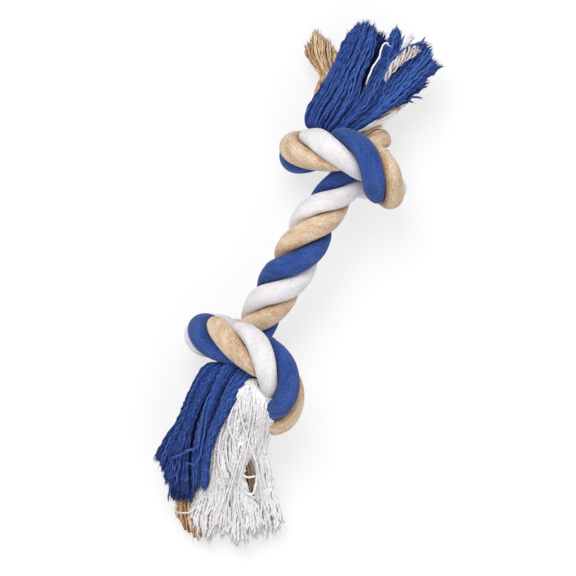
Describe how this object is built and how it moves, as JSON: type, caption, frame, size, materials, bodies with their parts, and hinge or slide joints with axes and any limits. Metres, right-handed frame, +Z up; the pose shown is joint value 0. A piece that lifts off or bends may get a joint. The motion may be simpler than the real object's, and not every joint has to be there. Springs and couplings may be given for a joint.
{
  "type": "rope dog toy",
  "caption": "Dog chew toy of thick cotton rope laid from blue, white and tan strands, with an overhand knot and a frayed tassel at each end.",
  "frame": {"origin": "on the floor, under the middle of the toy's bounding box", "axes": "+Y along the rope from the lower tassel (the one at the bottom of the picture) to the upper one, +Z up from the floor that the toy lies on, towards the picture's camera"},
  "size_m": [0.124, 0.2776, 0.0701],
  "materials": {
    "blue_cotton": "soft blue cotton yarn, matte",
    "white_cotton": "soft white cotton yarn, matte",
    "tan_cotton": "soft tan cotton yarn, matte"
  },
  "bodies": {
    "lower_end": {"lower_knot_blue_strand": "blue_cotton", "lower_knot_white_strand": "white_cotton", "lower_knot_tan_strand": "tan_cotton", "middle_blue_strand": "blue_cotton", "middle_white_strand": "white_cotton", "middle_tan_strand": "tan_cotton"},
    "upper_end": {"upper_knot_blue_strand": "blue_cotton", "upper_knot_white_strand": "white_cotton", "upper_knot_tan_strand": "tan_cotton"},
    "upper_tassel": {"upper_blue_tassel": "blue_cotton", "upper_tan_tassel": "tan_cotton", "upper_white_tassel": "white_cotton"},
    "lower_tassel": {"lower_blue_tassel": "blue_cotton", "lower_white_tassel": "white_cotton", "lower_tan_tassel": "tan_cotton"}
  },
  "joints": [
    {"name": "rope_bend", "type": "hinge", "parent": "lower_end", "child": "upper_end", "pos_m": [-0.0047, 0.0158, 0.0384], "axis": [0, 0, 1], "range_deg": [-45, 45], "deforming": ["middle_blue_strand", "middle_white_strand", "middle_tan_strand"]},
    {"name": "upper_tassel_swing", "type": "hinge", "parent": "upper_end", "child": "upper_tassel", "pos_m": [-0.0204, 0.0853, 0.0302], "axis": [0, 0, 1], "range_deg": [-20, 20], "deforming": ["upper_blue_tassel", "upper_tan_tassel", "upper_white_tassel"]},
    {"name": "lower_tassel_swing", "type": "hinge", "parent": "lower_end", "child": "lower_tassel", "pos_m": [0.0073, -0.0562, 0.0411], "axis": [0, 0, 1], "range_deg": [-20, 20], "deforming": ["lower_blue_tassel", "lower_white_tassel", "lower_tan_tassel"]}
  ]
}
